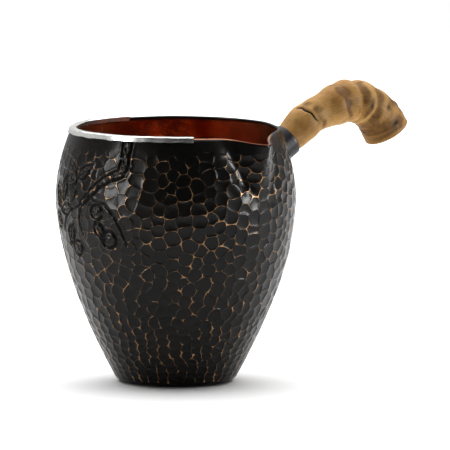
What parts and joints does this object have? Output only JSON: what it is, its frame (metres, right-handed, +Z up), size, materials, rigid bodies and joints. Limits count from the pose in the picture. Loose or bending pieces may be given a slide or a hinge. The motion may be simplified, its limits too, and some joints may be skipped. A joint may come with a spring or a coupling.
{
  "type": "pouring cup",
  "caption": "Hammered dark copper pouring cup with a pinched spout, a silver strip on part of the rim, and a curved bamboo-root side handle in a short metal socket.",
  "frame": {"origin": "centre of the flat base, on the surface that the cup stands on", "axes": "+Z up through the middle of the cup, +X along the handle; the spout points 12 degrees past square to the handle, near -Y"},
  "size_m": [0.1389, 0.0867, 0.1019],
  "materials": {
    "patinated_copper": "hammered copper with a near-black brown patina, worn to bare copper on the ridges; glossy red copper inside",
    "silver": "hand-polished silver strip",
    "socket_copper": "smooth copper tube with a blue-black patina",
    "braze": "darkened braze",
    "bamboo_root": "waxed bamboo root with brown blotches, pits and closely spaced rings",
    "nail_copper": "dulled copper nail"
  },
  "bodies": {
    "root": {"vessel": "patinated_copper", "silver_rim_strip": "silver", "handle_socket": "socket_copper", "socket_braze_bead": "braze", "handle_grip": "bamboo_root", "handle_pin": "nail_copper"}
  },
  "joints": []
}
